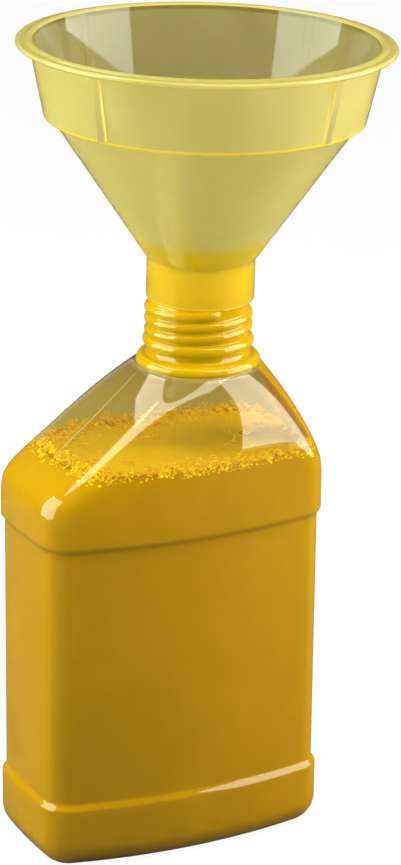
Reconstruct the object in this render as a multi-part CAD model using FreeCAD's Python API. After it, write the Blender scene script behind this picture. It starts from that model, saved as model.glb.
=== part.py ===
import FreeCAD, Part
import math
import os

# A one litre oil bottle of clear plastic, filled with yellow oil, with a pouring
# funnel slipped over its neck. Millimetres. The origin is on the neck's axis, in
# the plane that the bottle stands on. X runs along the wide faces, towards the
# side that the neck is set to; -Y is the front wide face; Z is up.

V = FreeCAD.Vector

# Body outline, seen from above
BODY_WIDTH = 111.0
BODY_DEPTH = 64.4
CORNER_RADIUS = 11.6
NECK_OFFSET = 13.8

# Degrees that a bowed face has turned back by where it runs into a corner
WIDE_FACE_TURN = 13.2
NARROW_FACE_TURN = 4.4
LEAST_TURN = 0.1

# Body heights
HEEL_RADIUS = 10.2
BASE_BAND_HEIGHT = 23.2
PANEL_HEIGHT = 100.2
PANEL_INSET = 1.45
PANEL_STEP_HEIGHT = 2.7
UPPER_BAND_HEIGHT = 16.8
SHOULDER_HEIGHT = 37.8
BREAK_SOFTNESS = 2.0

# How each side of the shoulder leans in: above 1 is full, below 1 is hollow
LEFT_SHOULDER_CURVE = 0.87
RIGHT_SHOULDER_CURVE = 1.19
FACE_SHOULDER_CURVE = 2.73

# Base
BASE_RING_WIDTH = 4.0
BASE_RECESS_DEPTH = 1.5
BASE_WALL = 1.3

# Neck
NECK_RING_RADIUS = 22.1
NECK_RING_LIP = 0.4
NECK_RING_HEIGHT = 5.0
NECK_RING_SINK = 0.6
NECK_ROOT_RADIUS = 18.0
NECK_TOP_RADIUS = 17.3
NECK_BORE_RADIUS = 15.9
NECK_LIP_ROUNDING = 0.7
NECK_STEP_HEIGHT = 0.7
BEAD_RADIUS = 19.75
BEAD_HALF_HEIGHT = 2.1
BEAD_ABOVE_SHOULDER = 7.7
THREAD_CREST_RADIUS = 19.2
THREAD_SECTION_RADIUS = 1.75
THREAD_PITCH = 4.1
THREAD_TURNS = 2.35
THREAD_TOP_ABOVE_SHOULDER = 20.75
THREAD_TOP_ANGLE = -96.0
COLLAR_ABOVE_SHOULDER = 23.3

# Walls and what the bottle holds
BOTTLE_WALL = 0.9
SHOULDER_WALL_DROP = 0.8
RING_WALL_DROP = 0.4
OIL_LEVEL = 147.5
OIL_CLEARANCE = 0.15
FILM_THICKNESS = 0.35
FROTH_WIDTH = 4.5
FROTH_HEIGHT = 1.2

# Funnel, measured along its own axis from the lower edge of its collar
COLLAR_RADIUS = 19.15
COLLAR_FIT = 0.8
COLLAR_HEIGHT = 14.3
FUNNEL_WALL = 1.3
THROAT_RADIUS = 16.4
CONE_TOP_RADIUS = 53.65
CONE_HEIGHT = 50.4
SKIRT_BOTTOM_RADIUS = 56.35
SKIRT_TOP_RADIUS = 61.5
SKIRT_HEIGHT = 24.9
SKIRT_EDGE_ROUNDING = 1.2
RIM_RADIUS = 66.2
RIM_THICKNESS = 1.9
RIM_CREST_HEIGHT = 0.7
RIM_CREST_WIDTH = 1.6
RIB_WIDTH = 4.0
RIB_DEPTH = 0.9
RIB_ANGLES = (26.7, 110.2, 206.7, 290.2)
FUNNEL_LEAN = 0.87
FUNNEL_SHIFT = 0.5
LEAN_ANGLE = -26.0
SEAT_CLEARANCE = 0.05

# Levels that follow
PANEL_TOP = BASE_BAND_HEIGHT + PANEL_HEIGHT
SHOULDER_BREAK = PANEL_TOP + UPPER_BAND_HEIGHT
SHOULDER_TOP = SHOULDER_BREAK + SHOULDER_HEIGHT
BODY_MIDDLE = -NECK_OFFSET
COLLAR_BOTTOM = SHOULDER_TOP + COLLAR_ABOVE_SHOULDER

# The cone's inner face, whose lower end makes the ledge that sits on the mouth
CONE_SLOPE = (CONE_TOP_RADIUS - COLLAR_RADIUS) / CONE_HEIGHT
CONE_WALL_ACROSS = FUNNEL_WALL * math.sqrt(1 + CONE_SLOPE ** 2)
LEDGE_HEIGHT = COLLAR_HEIGHT + (THROAT_RADIUS + CONE_WALL_ACROSS - COLLAR_RADIUS) / CONE_SLOPE
LEAN_AT_MOUTH = NECK_TOP_RADIUS * math.sin(math.radians(FUNNEL_LEAN))
MOUTH_Z = COLLAR_BOTTOM + LEDGE_HEIGHT - LEAN_AT_MOUTH - SEAT_CLEARANCE

# Shares of a shape: how round an outline may get, and where an arc's middle lies
NEARLY_ROUND = 0.985
ARC_MIDDLE = 1 - math.sqrt(0.5)

# Solids that are joined reach this far into each other
OVERLAP = 1.0
LEAST_RADIUS = 1.0


def softened_ramp(z):
    """A ramp in z that starts at the shoulder break, with its corner rounded off."""
    rise = (z - SHOULDER_BREAK) / BREAK_SOFTNESS
    return BREAK_SOFTNESS * (max(rise, 0.0) + math.log1p(math.exp(-abs(rise))))


def panel_inset(z):
    """How far the outline is drawn in at height z by the label panel."""
    into = smooth_step((z - BASE_BAND_HEIGHT) / PANEL_STEP_HEIGHT)
    out_of = smooth_step((PANEL_TOP - z) / PANEL_STEP_HEIGHT)
    return PANEL_INSET * min(into, out_of)


def smooth_step(share):
    share = min(max(share, 0.0), 1.0)
    return share * share * (3 - 2 * share)


def heel_inset(z, radius):
    if z >= radius:
        return 0.0
    return radius - math.sqrt(radius ** 2 - (radius - z) ** 2)


def outline(left, right, depth, radius, face_turn, side_turn, z):
    """A closed outline of four bowed sides that run smoothly into four round corners."""
    middle = (left + right) / 2
    half = (right - left) / 2
    radius = min(radius, NEARLY_ROUND * half, NEARLY_ROUND * depth)
    face, side = math.radians(face_turn), math.radians(side_turn)
    face_sag, side_sag = math.tan(face / 2), math.tan(side / 2)
    face_room = half - radius * math.cos(side) + radius * math.sin(face)
    side_room = depth - radius * math.cos(face) + radius * math.sin(side)
    face_end = (face_room - side_sag * side_room) / (1 - side_sag * face_sag)
    side_end = side_room - face_sag * face_end
    centre_x = face_end - radius * math.sin(face)
    centre_y = side_end - radius * math.sin(side)
    knee = math.sqrt(0.5) * radius

    def at(x, y):
        return V(middle + x, y, z)

    edges = []
    for x, y in ((1, 1), (-1, 1), (-1, -1), (1, -1)):
        on_side = at(x * (half - side_sag * side_end), y * side_end)
        on_face = at(x * face_end, y * (depth - face_sag * face_end))
        corner = (on_side, at(x * (centre_x + knee), y * (centre_y + knee)), on_face)
        if x * y > 0:
            bow = (on_face, at(0, y * depth), at(-x * face_end, on_face.y))
        else:
            corner = corner[::-1]
            bow = (on_side, at(x * half, 0), at(x * (half - side_sag * side_end), -on_side.y))
        edges += [Part.Arc(*corner).toShape(), Part.Arc(*bow).toShape()]
    return Part.Wire(edges)


def body_outline(z, wall=0.0):
    """The body's outline at height z, drawn in by a wall all round."""
    law_z = z
    if wall:
        law_z = z + SHOULDER_WALL_DROP * smooth_step((z - PANEL_TOP) / UPPER_BAND_HEIGHT)
    share = min(softened_ramp(law_z) / softened_ramp(SHOULDER_TOP), 1.0)
    left_share = share ** LEFT_SHOULDER_CURVE
    right_share = share ** RIGHT_SHOULDER_CURVE
    face_share = share ** FACE_SHOULDER_CURVE
    top = NECK_RING_RADIUS - NECK_RING_LIP
    inset = wall + panel_inset(z) + heel_inset(z, HEEL_RADIUS)
    left = (BODY_MIDDLE - BODY_WIDTH / 2) * (1 - left_share) - top * left_share
    right = (BODY_MIDDLE + BODY_WIDTH / 2) * (1 - right_share) + top * right_share
    depth = BODY_DEPTH / 2 * (1 - face_share) + top * face_share
    radius = CORNER_RADIUS + (NEARLY_ROUND * top - CORNER_RADIUS) * share
    face_turn = max(WIDE_FACE_TURN * (1 - face_share), LEAST_TURN)
    side_turn = max(NARROW_FACE_TURN * (1 - share), LEAST_TURN)
    return outline(left + inset, right - inset, depth - inset,
                   max(radius - inset, LEAST_RADIUS), face_turn, side_turn, z)


def spread(low, high, count):
    return [low + (high - low) * step / (count - 1) for step in range(count)]


def body_heights(floor, ceiling):
    """Heights of the outlines, in runs: each run is one smooth skin."""
    step = PANEL_STEP_HEIGHT
    heel = [HEEL_RADIUS * (1 - math.cos(math.radians(turn))) for turn in (0, 15, 30, 45, 60, 75, 90)]
    heel = [floor] + [z for z in heel if z > floor + 0.4]
    runs = [heel,
            [HEEL_RADIUS, BASE_BAND_HEIGHT],
            spread(BASE_BAND_HEIGHT, BASE_BAND_HEIGHT + step, 5),
            [BASE_BAND_HEIGHT + step, PANEL_TOP - step],
            spread(PANEL_TOP - step, PANEL_TOP, 5),
            [PANEL_TOP, SHOULDER_BREAK - 4 * BREAK_SOFTNESS]]
    break_end = SHOULDER_BREAK + 4 * BREAK_SOFTNESS
    shoulder = spread(SHOULDER_BREAK - 4 * BREAK_SOFTNESS, break_end, 9)
    shoulder = [z for z in shoulder if z < ceiling - 1.5] + [ceiling]
    if ceiling > break_end + 6:
        shoulder = shoulder[:-1] + spread(break_end, ceiling, 6)[1:]
    return runs + [shoulder]


def skinned_solid(runs, wall):
    """A closed solid through the outlines of every run."""
    faces = []
    for run in runs:
        wires = [body_outline(z, wall) for z in run]
        faces += Part.makeLoft(wires, False, len(run) == 2).Faces
    faces.append(Part.Face(body_outline(runs[0][0], wall)))
    faces.append(Part.Face(body_outline(runs[-1][-1], wall)))
    shell = Part.makeShell(faces)
    shell.sewShape()
    solid = Part.makeSolid(shell.Shells[0] if shell.ShapeType != "Shell" else shell)
    if solid.Volume < 0:
        solid.reverse()
    return solid


def turned(steps):
    """A solid of revolution about Z. A step is a point (r, z), or a pair of points
    for an arc: a point on it and its end."""
    edges = []
    here = V(steps[0][0], 0, steps[0][1])
    for step in steps[1:] + steps[:1]:
        if isinstance(step[0], tuple):
            on_way = V(step[0][0], 0, step[0][1])
            there = V(step[1][0], 0, step[1][1])
            edges.append(Part.Arc(here, on_way, there).toShape())
        else:
            there = V(step[0], 0, step[1])
            edges.append(Part.LineSegment(here, there).toShape())
        here = there
    face = Part.Face(Part.Wire(edges))
    return face.revolve(V(0, 0, 0), V(0, 0, 1), 360)


# Neck

def ring_profile(radius, root, base):
    """The domed ring that joins neck and shoulder, from its foot up to the neck."""
    width = radius - root
    height = NECK_RING_HEIGHT
    return [(radius, base),
            (radius, base + 0.25 * height),
            ((radius - 0.18 * width, base + 0.52 * height), (radius - 0.5 * width, base + 0.66 * height)),
            ((radius - 0.88 * width, base + 0.78 * height), (root, base + height))]


def neck_outside():
    bead = SHOULDER_TOP + BEAD_ABOVE_SHOULDER
    lip = NECK_LIP_ROUNDING
    ring_foot = SHOULDER_TOP - NECK_RING_SINK
    buried = NECK_RING_RADIUS - NECK_RING_LIP - BOTTLE_WALL
    steps = [(0, ring_foot - OVERLAP), (buried, ring_foot - OVERLAP)]
    steps += ring_profile(NECK_RING_RADIUS, NECK_ROOT_RADIUS, ring_foot)
    steps += [(NECK_ROOT_RADIUS, bead - BEAD_HALF_HEIGHT),
              ((BEAD_RADIUS, bead), (NECK_ROOT_RADIUS, bead + BEAD_HALF_HEIGHT)),
              (NECK_ROOT_RADIUS, COLLAR_BOTTOM - NECK_STEP_HEIGHT),
              (NECK_TOP_RADIUS, COLLAR_BOTTOM),
              (NECK_TOP_RADIUS, MOUTH_Z - lip),
              ((NECK_TOP_RADIUS - ARC_MIDDLE * lip, MOUTH_Z - ARC_MIDDLE * lip),
               (NECK_TOP_RADIUS - lip, MOUTH_Z)),
              (0, MOUTH_Z)]
    return turned(steps)


def neck_inside(clearance, top):
    """The bore, widening into the shoulder; clearance draws it in all round."""
    bore = NECK_BORE_RADIUS - clearance
    ring = NECK_RING_RADIUS - NECK_RING_LIP - BOTTLE_WALL - clearance
    base = SHOULDER_TOP - NECK_RING_SINK - RING_WALL_DROP - clearance
    steps = [(0, base - OVERLAP), (ring, base - OVERLAP)]
    steps += ring_profile(ring, bore, base)
    steps += [(bore, top), (0, top)]
    return turned(steps)


def threaded_sleeve():
    """The neck's wall above the bead, with a rounded ridge winding down it."""
    section = THREAD_SECTION_RADIUS
    centre = THREAD_CREST_RADIUS - section
    height = THREAD_PITCH * THREAD_TURNS
    path = Part.makeHelix(THREAD_PITCH, height, centre)
    profile = Part.Wire(Part.makeCircle(section, V(centre, 0, 0), V(0, 1, 0)))
    ridge = Part.Wire(path.Edges).makePipeShell([profile], True, True)
    low_end = Part.makeSphere(section, V(centre, 0, 0))
    turn = 360 * THREAD_TURNS
    high = V(centre * math.cos(math.radians(turn)), centre * math.sin(math.radians(turn)), height)
    high_end = Part.makeSphere(section, high)
    thread = ridge.fuse([low_end, high_end])
    thread.rotate(V(0, 0, 0), V(0, 0, 1), THREAD_TOP_ANGLE - turn)
    thread.translate(V(0, 0, SHOULDER_TOP + THREAD_TOP_ABOVE_SHOULDER - height))
    bead = SHOULDER_TOP + BEAD_ABOVE_SHOULDER
    top = COLLAR_BOTTOM - NECK_STEP_HEIGHT
    return Part.makeCylinder(NECK_ROOT_RADIUS, top - bead, V(0, 0, bead)).fuse(thread)


# Bottle

def base_recess():
    def drawn_in(inset, z):
        left, right = BODY_MIDDLE - BODY_WIDTH / 2 + inset, BODY_MIDDLE + BODY_WIDTH / 2 - inset
        radius = max(CORNER_RADIUS - inset / 2, LEAST_RADIUS)
        return outline(left, right, BODY_DEPTH / 2 - inset, radius,
                       WIDE_FACE_TURN, NARROW_FACE_TURN, z)

    rim = HEEL_RADIUS + BASE_RING_WIDTH
    wires = [drawn_in(rim, 0), drawn_in(rim + BASE_RECESS_DEPTH, BASE_RECESS_DEPTH)]
    return Part.makeLoft(wires, True, True)


def cavity_floor():
    return BASE_RECESS_DEPTH + BASE_WALL


def bottle():
    body = skinned_solid(body_heights(0, SHOULDER_TOP), 0)
    outside = body.fuse([neck_outside(), threaded_sleeve()])
    room_top = SHOULDER_TOP - NECK_RING_SINK - OVERLAP
    room = skinned_solid(body_heights(cavity_floor(), room_top), BOTTLE_WALL)
    hollow = room.fuse(neck_inside(0, MOUTH_Z + OVERLAP))
    return outside.cut([hollow, base_recess()]).removeSplitter()


# Contents

def oil():
    inset = BOTTLE_WALL + OIL_CLEARANCE
    return skinned_solid(body_heights(cavity_floor() + OIL_CLEARANCE, OIL_LEVEL), inset)


def froth():
    """A low ring of bubbles where the oil meets the wall."""
    low = OIL_LEVEL + OIL_CLEARANCE
    high = low + FROTH_HEIGHT
    inset = BOTTLE_WALL + OIL_CLEARANCE
    outer = Part.makeLoft([body_outline(z, inset) for z in (low, high)], True, True)
    inner = Part.makeLoft([body_outline(z, inset + FROTH_WIDTH) for z in (low, high)], True, True)
    return outer.cut(inner)


def oil_film():
    """The oil that clings inside the neck, from the ring up to the mouth."""
    top = MOUTH_Z - FILM_THICKNESS
    coat = neck_inside(OIL_CLEARANCE, top)
    return coat.cut(neck_inside(OIL_CLEARANCE + FILM_THICKNESS, top + OVERLAP))


# Funnel

def funnel_wall_solid():
    skirt_bottom = COLLAR_HEIGHT + CONE_HEIGHT
    skirt_top = skirt_bottom + SKIRT_HEIGHT
    bore = NECK_TOP_RADIUS + COLLAR_FIT
    edge = SKIRT_EDGE_ROUNDING
    wall = FUNNEL_WALL
    rim_half = RIM_THICKNESS / 2
    crest = skirt_top + RIM_THICKNESS + RIM_CREST_HEIGHT
    inner_top = SKIRT_TOP_RADIUS - wall
    steps = [(bore, 0),
             (COLLAR_RADIUS, 0),
             (COLLAR_RADIUS, COLLAR_HEIGHT),
             (CONE_TOP_RADIUS, skirt_bottom),
             (SKIRT_BOTTOM_RADIUS - edge, skirt_bottom),
             ((SKIRT_BOTTOM_RADIUS - ARC_MIDDLE * edge, skirt_bottom + ARC_MIDDLE * edge),
              (SKIRT_BOTTOM_RADIUS, skirt_bottom + edge)),
             (SKIRT_TOP_RADIUS, skirt_top),
             (RIM_RADIUS - rim_half, skirt_top),
             ((RIM_RADIUS, skirt_top + rim_half), (RIM_RADIUS - rim_half, skirt_top + RIM_THICKNESS)),
             (inner_top + 2 * RIM_CREST_WIDTH, skirt_top + RIM_THICKNESS),
             ((inner_top + RIM_CREST_WIDTH, crest), (inner_top, skirt_top + RIM_THICKNESS)),
             (SKIRT_BOTTOM_RADIUS - wall, skirt_bottom + wall),
             (CONE_TOP_RADIUS - CONE_WALL_ACROSS + CONE_SLOPE * wall, skirt_bottom + wall),
             (THROAT_RADIUS, LEDGE_HEIGHT),
             (bore, LEDGE_HEIGHT)]
    return turned(steps)


def rib(angle):
    """A flat upright rib on the skirt, from its lower edge up to the rim."""
    low = COLLAR_HEIGHT + CONE_HEIGHT + SKIRT_EDGE_ROUNDING
    high = COLLAR_HEIGHT + CONE_HEIGHT + SKIRT_HEIGHT
    lean = (SKIRT_TOP_RADIUS - SKIRT_BOTTOM_RADIUS) / SKIRT_HEIGHT
    corners = [(SKIRT_BOTTOM_RADIUS - FUNNEL_WALL / 2, low),
               (SKIRT_BOTTOM_RADIUS + RIB_DEPTH, low),
               (SKIRT_BOTTOM_RADIUS + RIB_DEPTH + lean * (high - low), high),
               (SKIRT_TOP_RADIUS - FUNNEL_WALL / 2, high)]
    points = [V(r, -RIB_WIDTH / 2, z) for r, z in corners]
    side = Part.Face(Part.makePolygon(points + points[:1]))
    bar = side.extrude(V(0, RIB_WIDTH, 0))
    bar.rotate(V(0, 0, 0), V(0, 0, 1), angle)
    return bar


def funnel():
    ribs = [rib(angle) for angle in RIB_ANGLES]
    body = funnel_wall_solid().fuse(ribs).removeSplitter()
    across = LEAN_ANGLE + 90
    lean_axis = V(math.cos(math.radians(across)), math.sin(math.radians(across)), 0)
    body.rotate(V(0, 0, 0), lean_axis, FUNNEL_LEAN)
    shift_x = FUNNEL_SHIFT * math.cos(math.radians(LEAN_ANGLE))
    shift_y = FUNNEL_SHIFT * math.sin(math.radians(LEAN_ANGLE))
    body.translate(V(shift_x, shift_y, COLLAR_BOTTOM))
    return body


PIECES = {"bottle": bottle, "oil": oil, "froth": froth, "oil_film": oil_film, "funnel": funnel}

os.makedirs("parts", exist_ok=True)
for name, build in PIECES.items():
    piece = build()
    piece.exportStep("parts/" + name + ".step")
    box = piece.BoundBox
    print(name, "valid", piece.isValid(), "solids", len(piece.Solids),
          "cm3", round(piece.Volume / 1000, 2),
          "box", [round(v, 1) for v in (box.XMin, box.XMax, box.YMin, box.YMax, box.ZMin, box.ZMax)])
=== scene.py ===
import bpy
import math
import numpy as np
from mathutils import Matrix, Vector

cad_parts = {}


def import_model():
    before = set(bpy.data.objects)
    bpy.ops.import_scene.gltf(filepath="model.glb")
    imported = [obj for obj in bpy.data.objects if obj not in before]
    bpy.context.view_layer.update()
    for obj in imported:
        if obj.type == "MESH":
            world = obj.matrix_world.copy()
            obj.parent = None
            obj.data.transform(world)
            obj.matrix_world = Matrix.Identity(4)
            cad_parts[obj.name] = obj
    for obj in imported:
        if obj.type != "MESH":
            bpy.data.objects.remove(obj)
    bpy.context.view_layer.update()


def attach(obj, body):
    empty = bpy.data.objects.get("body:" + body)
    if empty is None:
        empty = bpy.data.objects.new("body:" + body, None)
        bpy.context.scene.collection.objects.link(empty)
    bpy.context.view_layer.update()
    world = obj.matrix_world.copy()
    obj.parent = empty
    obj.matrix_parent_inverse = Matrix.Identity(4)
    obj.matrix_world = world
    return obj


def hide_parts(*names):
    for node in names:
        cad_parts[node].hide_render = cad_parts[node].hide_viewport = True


# A clear oil bottle full of yellow oil, with a translucent yellow funnel on its
# neck, on a pale floor between two large softboxes. Shapes are worked out in
# millimetres and turned into metres where a mesh is made.

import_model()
MM = 0.001

# Body outline and heights, as in the part
BODY_WIDTH = 111.0
BODY_DEPTH = 64.4
CORNER_RADIUS = 11.6
BODY_MIDDLE = -13.8
WIDE_FACE_TURN = 13.2
NARROW_FACE_TURN = 4.4
LEAST_TURN = 0.1
LEAST_RADIUS = 1.0
NEARLY_ROUND = 0.985
HEEL_RADIUS = 10.2
BASE_BAND_HEIGHT = 23.2
PANEL_INSET = 1.45
PANEL_STEP_HEIGHT = 2.7
PANEL_TOP = 123.4
UPPER_BAND_HEIGHT = 16.8
SHOULDER_BREAK = 140.2
SHOULDER_TOP = 178.0
BREAK_SOFTNESS = 2.0
LEFT_SHOULDER_CURVE = 0.87
RIGHT_SHOULDER_CURVE = 1.19
FACE_SHOULDER_CURVE = 2.73
BASE_RING_WIDTH = 4.0
BASE_RECESS_DEPTH = 1.5
CAVITY_FLOOR = 2.8
BOTTLE_WALL = 0.9
SHOULDER_WALL_DROP = 0.8
RING_WALL_DROP = 0.4
PARTING_HALF_WIDTH = 0.2
PARTING_HEIGHT = 0.14
PARTING_ABOVE_OIL = 2.5
PARTING_ABOVE_BREAK = 3
PARTING_BELOW_TOP = 1
BODY_END_BELOW_RING = 0.15
CAVITY_END_BELOW_RING = 1.0

# Neck, as in the part
NECK_RING_RADIUS = 22.1
NECK_RING_LIP = 0.4
NECK_RING_HEIGHT = 5.0
NECK_RING_SINK = 0.6
NECK_ROOT_RADIUS = 18.0
NECK_TOP_RADIUS = 17.3
NECK_BORE_RADIUS = 15.9
NECK_LIP_ROUNDING = 0.7
NECK_STEP_HEIGHT = 0.7
BEAD_RADIUS = 19.75
BEAD_HALF_HEIGHT = 2.1
BEAD_HEIGHT = 185.7
THREAD_CREST_RADIUS = 19.2
THREAD_SECTION_RADIUS = 1.75
THREAD_PITCH = 4.1
THREAD_TURNS = 2.35
THREAD_TOP = 198.75
THREAD_TOP_ANGLE = -96.0
COLLAR_BOTTOM = 201.3

# Oil, froth and the film in the neck; bubble sizes are radii, with the large kind first
OIL_LEVEL = 147.5
OIL_REACH = 0.1
WALL_ROUND = 300.0
FILM_THICKNESS = 0.35
FILM_REACH = 0.35
FILM_BELOW_MOUTH = 0.9
SHOULDER_FILM_ROWS = 24
MENISCUS = ((0.3, 0.2), (0.9, 0.08), (1.6, 0.0), (3.6, 0.0), (6, 0), (9, 0))
SURFACE_SHARES = (0.85, 0.65, 0.4, 0.15)
OPEN_SURFACE_ROWS = 7
FROTH_SEED = 11
WALL_BUBBLES = 1400
WALL_LOOPS = 120
FLOATING_BUBBLES = 1000
FLOATING_LOOPS = 150
BUBBLE_CHAINS = (((2, -12), (12, 6), 7), ((-30, 4), (-6, 12), -5), ((-48, -8), (-26, -14), 4))
CHAIN_BUBBLES = 26
CHAIN_SCATTER = 0.4
BUBBLE_SQUASH = 0.8
LARGE_EVERY = 6
WALL_SIZES = ((0.5, 0.95), (0.25, 0.5))
FLOATING_SIZES = ((0.55, 1.1), (0.25, 0.55))
CHAIN_SIZES = (0.25, 0.7)
FROTH_TOP = 3.2
WALL_LOOP_HEIGHTS = (-0.4, 2.2)
WALL_LOOP_SIZES = (0.6, 2.1)
WALL_LOOP_THICKNESS = (0.12, 0.24)
FLOATING_LOOP_SIZES = (0.8, 2.6)
FLOATING_LOOP_THICKNESS = (0.16, 0.28)
LOOP_TILT = 0.12

# Funnel, as in the part
COLLAR_RADIUS = 19.15
COLLAR_BORE = 18.1
COLLAR_HEIGHT = 14.3
FUNNEL_WALL = 1.3
THROAT_RADIUS = 16.4
CONE_TOP_RADIUS = 53.65
CONE_HEIGHT = 50.4
SKIRT_BOTTOM_RADIUS = 56.35
SKIRT_TOP_RADIUS = 61.5
SKIRT_HEIGHT = 24.9
SKIRT_EDGE_ROUNDING = 1.2
RIM_RADIUS = 66.2
RIM_THICKNESS = 1.9
RIM_CREST_HEIGHT = 0.7
RIM_CREST_WIDTH = 1.6
RIB_WIDTH = 4.0
RIB_DEPTH = 0.9
RIB_ANGLES = (26.7, 110.2, 206.7, 290.2)
RIB_MIDDLE_RADIUS = 59.5
SKIRT_SLOPE = 0.217
FUNNEL_LEAN = 0.87
FUNNEL_SHIFT = 0.5
LEAN_ANGLE = -26.0

CONE_SLOPE = (CONE_TOP_RADIUS - COLLAR_RADIUS) / CONE_HEIGHT
CONE_WALL_ACROSS = FUNNEL_WALL * math.sqrt(1 + CONE_SLOPE ** 2)
LEDGE_HEIGHT = COLLAR_HEIGHT + (THROAT_RADIUS + CONE_WALL_ACROSS - COLLAR_RADIUS) / CONE_SLOPE
MOUTH_Z = COLLAR_BOTTOM + LEDGE_HEIGHT - NECK_TOP_RADIUS * math.sin(math.radians(FUNNEL_LEAN)) - 0.05

# Points of a quarter of the outline, and the least turn in degrees that is eased
SIDE_STEPS = 8
CORNER_STEPS = 16
FACE_STEPS = 24
EASED_TURN = 20

# Colours: the oil's and the funnel's run from dark to pale, the wall's from low to high
OIL_HELD = ((0.390, 0.216, 0.0), (0.430, 0.240, 0.0))
OIL_SURFACE = ((0.57, 0.43, 0.0), (0.67, 0.51, 0.0))
OIL_FILM = ((0.50, 0.315, 0.0), (0.56, 0.355, 0.0))
FROTH = ((0.68, 0.51, 0.0), (0.90, 0.72, 0.03))
# Painted glow: the froth gives off a faint light of its own, in place of light scattered through the bubbles
FROTH_PAINTED_GLOW = (0.9, 0.68, 0.03, 1)
UNTINTED_WALL = (1.0, 0.97, 0.75)
# Above the oil the broad walls are darkened, most near the top: painted shade, as of a dark backdrop seen
# through them, and partly a thin oil film
BROAD_WALL_SHADE_AND_FILM = ((0.66, 0.57, 0.25), (0.64, 0.54, 0.24), (0.54, 0.44, 0.19))
NARROW_WALL = ((0.80, 0.56, 0.02), (0.80, 0.57, 0.03))
FUNNEL_OUTSIDE = ((0.78, 0.645, 0.22), (0.81, 0.68, 0.245))
# At the collar the neck's oil shows through; the brighter colour at the foot of the cone is a painted glow
FUNNEL_OIL_AND_GLOW = ((0.72, 0.53, 0.02), (1.0, 0.60, 0.02))
# The funnel's inside is painted far darker than its outside: painted shade
FUNNEL_INSIDE_SHADE = ((0.17, 0.175, 0.11), (0.20, 0.205, 0.13))
# The rim is a darker copy of the outside plastic: painted shade on the rim
FUNNEL_RIM_SHADE = ((0.55, 0.465, 0.14), (0.59, 0.50, 0.16))
FUNNEL_EDGE = ((0.76, 0.56, 0.05), (0.80, 0.60, 0.06))

# Heights in metres between which a colour changes
WALL_TINT = (0.140, 0.190)
COLLAR_TO_LOW_CONE = (0.214, 0.219)
LOW_CONE_TO_CONE = (0.2215, 0.2275)

# Camera, floor and world: angles in radians, lens in millimetres, the rest in metres
CAMERA_TURN = -0.4551
CAMERA_PITCH = 0.3291
CAMERA_ROLL = 0.0126
CAMERA_LENS = 144.0
CAMERA_SENSOR = 36.0
CAMERA_SIDE = 0.001285
CAMERA_HEIGHT = 0.15005
CAMERA_DISTANCE = 1.23898
FLOOR_HALF_WIDTH = 4.0
FLOOR_GREY = 0.09
FLOOR_GLOW = 0.93
FAR_FLOOR_GLOW = 0.97
FLOOR_GLOW_REACH = (0.2, 2.6)
AMBIENT = 0.03
GLOSS_SHARE = 0.05

# Lamps: name, place, target, direction of the width, size, radiance, seen in mirrors, colour
AIM = (0, 0, 0.15)
WHITE = (1, 1, 1)
FAINT_GREEN = (0.97, 1.0, 0.97)
SOFT_GREEN = (0.91, 1.0, 0.91)
LAMPS = (
    ("softbox_left", (-0.59, 0.15, 0.34), (0, 0, 0.34), (0.2, 1, 0), (0.62, 0.64), 5.3, True, SOFT_GREEN),
    ("softbox_right", (0.476, -0.275, 0.43), (0, 0, 0.43), (0.6, 0.8, 0), (0.6, 0.74), 5.15, True,
     FAINT_GREEN),
    ("strip_above", (-0.13, -0.25, 1.12), AIM, (0.69, -0.65, 0), (1.7, 0.28), 5.4, True, SOFT_GREEN),
    ("panel_above", (-0.42, 0.50, 1.12), AIM, (0, 1, 0), (0.70, 0.20), 4.8, True, WHITE),
    ("panel_faint", (-0.19, 0.32, 1.12), AIM, (0, 1, 0), (0.50, 0.26), 2.2, True, WHITE),
    ("fill_low", (0.05, -0.62, 0.17), (0, 0, 0.17), (1, 0, 0), (0.8, 0.26), 0.4, False, WHITE),
    ("fill_funnel", (-0.10, -0.30, 0.19), (-0.01, -0.03, 0.68), (1, 0, 0), (0.4, 0.12), 3.8, False, WHITE),
    ("fill_back", (-0.05, 0.40, 0.05), (0, 0, 0.05), (1, 0, 0), (0.5, 0.09), 1.5, False, WHITE),
)


def smooth_step(share):
    share = min(max(share, 0.0), 1.0)
    return share * share * (3 - 2 * share)


def softened_ramp(z):
    rise = (z - SHOULDER_BREAK) / BREAK_SOFTNESS
    return BREAK_SOFTNESS * (max(rise, 0.0) + math.log1p(math.exp(-abs(rise))))


def panel_inset(z):
    into = smooth_step((z - BASE_BAND_HEIGHT) / PANEL_STEP_HEIGHT)
    out_of = smooth_step((PANEL_TOP - z) / PANEL_STEP_HEIGHT)
    return PANEL_INSET * min(into, out_of)


def heel_inset(z):
    if z >= HEEL_RADIUS:
        return 0.0
    return HEEL_RADIUS - math.sqrt(HEEL_RADIUS ** 2 - (HEEL_RADIUS - z) ** 2)


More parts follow.
